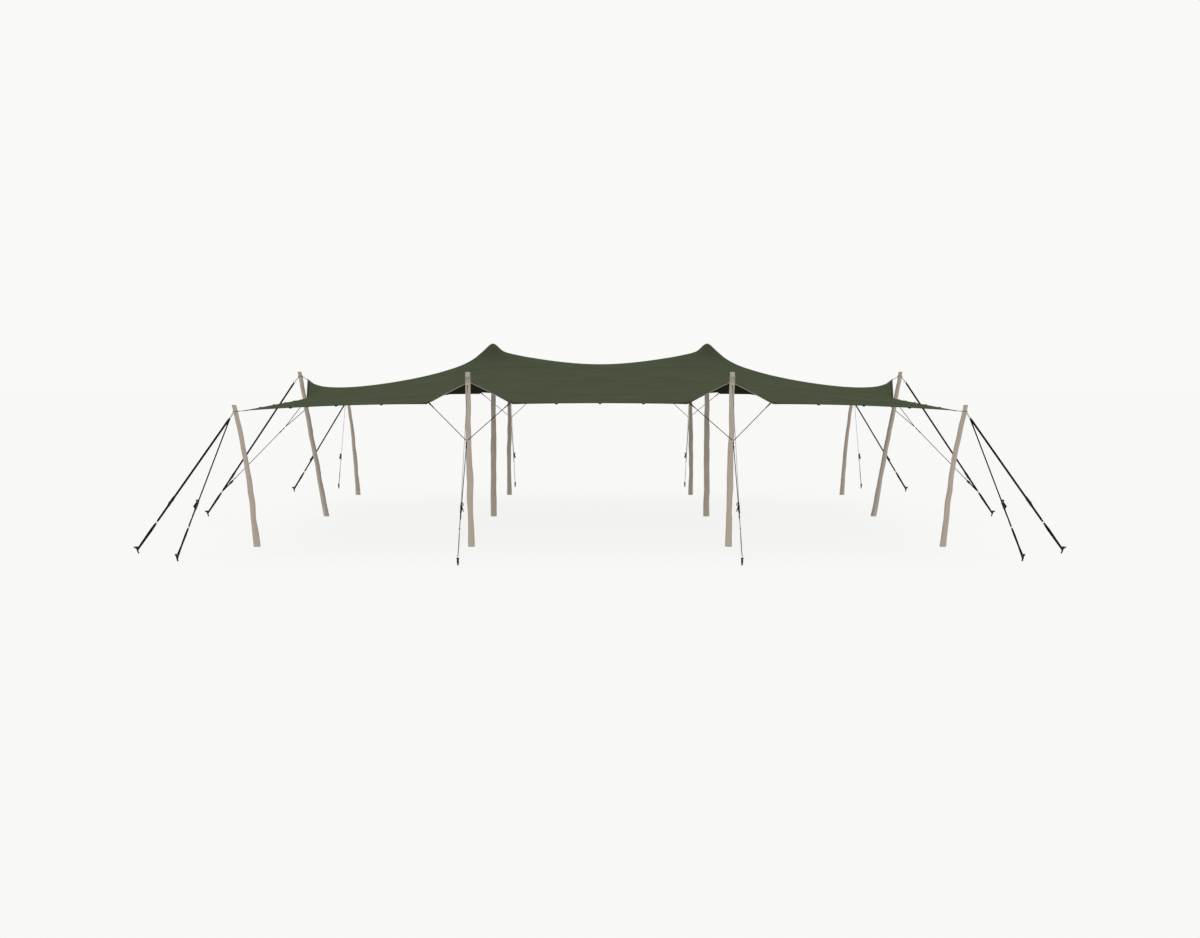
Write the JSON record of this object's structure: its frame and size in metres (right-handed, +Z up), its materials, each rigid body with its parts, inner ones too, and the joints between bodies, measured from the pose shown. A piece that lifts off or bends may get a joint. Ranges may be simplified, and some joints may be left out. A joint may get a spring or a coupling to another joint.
{
  "type": "stretch tent",
  "caption": "Open-sided stretch tent: one tensioned cloth canopy with two peaks, on timber poles guyed by ratchet straps to ground stakes.",
  "frame": {"origin": "on the ground at the middle of the footprint", "axes": "+Z up, +X to the right along the line of the two king poles, front is -Y"},
  "size_m": [16.2032, 15.5432, 3.5383],
  "materials": {
    "canopy_cloth": "matt olive green stretch cloth, darker underneath",
    "pole_timber": "peeled round timber, dry and unvarnished",
    "pole_head_rubber": "matt black",
    "rope": "off-white laid rope with a galvanised ring",
    "strap_webbing": "black woven webbing and cord with black steel ratchets",
    "stake_steel": "dark forged steel"
  },
  "bodies": {
    "root": {"back_pole_left": "pole_timber", "back_pole_right": "pole_timber", "bridle_back_left": "strap_webbing", "bridle_back_right": "strap_webbing", "bridle_front_left": "strap_webbing", "bridle_front_right": "strap_webbing", "bridle_side_left": "strap_webbing", "bridle_side_right": "strap_webbing", "canopy": "canopy_cloth", "corner_pole_back_left": "pole_timber", "corner_pole_back_right": "pole_timber", "corner_pole_front_left": "pole_timber", "corner_pole_front_right": "pole_timber", "front_pole_left": "pole_timber", "front_pole_right": "pole_timber", "guy_strap_back_left": "strap_webbing", "guy_strap_back_right": "strap_webbing", "guy_strap_corner_back_left_end": "strap_webbing", "guy_strap_corner_back_left_side": "strap_webbing", "guy_strap_corner_back_right_end": "strap_webbing", "guy_strap_corner_back_right_side": "strap_webbing", "guy_strap_corner_front_left_end": "strap_webbing", "guy_strap_corner_front_left_side": "strap_webbing", "guy_strap_corner_front_right_end": "strap_webbing", "guy_strap_corner_front_right_side": "strap_webbing", "guy_strap_front_left": "strap_webbing", "guy_strap_front_right": "strap_webbing", "guy_strap_side_left": "strap_webbing", "guy_strap_side_right": "strap_webbing", "head_rope_back_left": "rope", "head_rope_back_right": "rope", "head_rope_corner_back_left": "rope", "head_rope_corner_back_right": "rope", "head_rope_corner_front_left": "rope", "head_rope_corner_front_right": "rope", "head_rope_front_left": "rope", "head_rope_front_right": "rope", "head_rope_side_left": "rope", "head_rope_side_right": "rope", "king_head_left": "pole_head_rubber", "king_head_right": "pole_head_rubber", "king_pole_left": "pole_timber", "king_pole_right": "pole_timber", "side_pole_left": "pole_timber", "side_pole_right": "pole_timber", "stake_back_left": "stake_steel", "stake_back_right": "stake_steel", "stake_corner_back_left_end": "stake_steel", "stake_corner_back_left_side": "stake_steel", "stake_corner_back_right_end": "stake_steel", "stake_corner_back_right_side": "stake_steel", "stake_corner_front_left_end": "stake_steel", "stake_corner_front_left_side": "stake_steel", "stake_corner_front_right_end": "stake_steel", "stake_corner_front_right_side": "stake_steel", "stake_front_left": "stake_steel", "stake_front_right": "stake_steel", "stake_side_left": "stake_steel", "stake_side_right": "stake_steel"}
  },
  "joints": []
}
